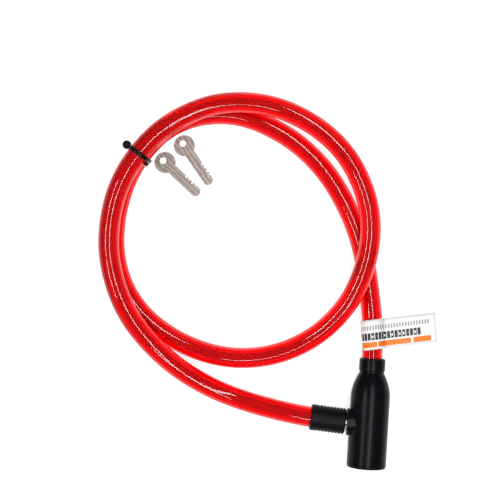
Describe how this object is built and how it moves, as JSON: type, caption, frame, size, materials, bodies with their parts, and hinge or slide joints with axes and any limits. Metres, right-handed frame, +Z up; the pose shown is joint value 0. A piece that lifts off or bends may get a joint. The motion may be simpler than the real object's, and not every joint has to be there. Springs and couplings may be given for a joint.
{
  "type": "keyed cable lock",
  "caption": "Keyed cable lock: a jacketed steel cable, coiled and tied, joined to a bottle-shaped lock body with a side port for its ribbed end plug, and loose flat keys.",
  "frame": {"origin": "centre of the bottom of the box round the hard pieces: the lock body, the plug and the keys, without the cable", "axes": "+Y along the lock's axis from its keyed end face towards the cable, +Z up from the surface it lies on; the side port opens towards -X"},
  "size_m": [0.2017, 0.2141, 0.0273],
  "materials": {
    "lock_cover": "satin black moulding",
    "lock_cap": "black, slightly glossy",
    "cast_zinc": "cast zinc, as cast",
    "spring_steel": "spring steel",
    "bright_steel": "turned steel",
    "crimp_alloy": "pressed",
    "jacket": "clear red soft vinyl",
    "steel_rope": "twisted steel rope",
    "tie_black": "black nylon",
    "label_paper": "white label stock",
    "nickel_brass": "nickel-washed brass",
    "hard_steel": "pressed steel",
    "plug_black": "ribbed black moulding",
    "key_metal": "nickel-plated",
    "wafer_brass": "stamped brass"
  },
  "bodies": {
    "lock": {"outer_sleeve": "lock_cover", "end_cap": "lock_cap", "lock_housing": "cast_zinc", "retaining_clip": "spring_steel", "port_bush": "bright_steel", "cable_anchor": "crimp_alloy", "anchor_pin": "bright_steel", "cable_jacket": "jacket", "cable_core": "steel_rope", "coil_tie": "tie_black", "flag_label": "label_paper"},
    "barrel": {"key_barrel": "nickel_brass", "wafer_1": "wafer_brass", "wafer_2": "wafer_brass", "wafer_3": "wafer_brass", "wafer_4": "wafer_brass", "wafer_5": "wafer_brass"},
    "latch": {"latch_plate": "hard_steel"},
    "cable_plug": {"tongue": "bright_steel", "plug_crimp": "crimp_alloy", "tongue_pin": "bright_steel", "plug_sleeve": "plug_black"},
    "key_one": {"key_1": "key_metal"},
    "key_two": {"key_2": "key_metal"}
  },
  "joints": [
    {"name": "key_turn", "type": "hinge", "parent": "lock", "child": "barrel", "pos_m": [0.0618, -0.0942, 0.0115], "axis": [0, -1, 0], "range_deg": [0, 90]},
    {"name": "latch_slide", "type": "slide", "parent": "lock", "child": "latch", "axis": [0, 0, 1], "range_m": [0, 0.00311]},
    {"name": "plug_pull", "type": "slide", "parent": "lock", "child": "cable_plug", "axis": [-0.9976, 0.0698, 0], "range_m": [0, 0.02], "deforming": ["cable_jacket", "cable_core"]},
    {"name": "key_1_lift", "type": "slide", "parent": "lock", "child": "key_one", "axis": [0, 0, 1], "range_m": [0, 0.06]},
    {"name": "key_2_lift", "type": "slide", "parent": "lock", "child": "key_two", "axis": [0, 0, 1], "range_m": [0, 0.06]}
  ],
  "couplings": [
    {"joint": "latch_slide", "follows": "key_turn", "m_per_rad": 0.0019807}
  ]
}
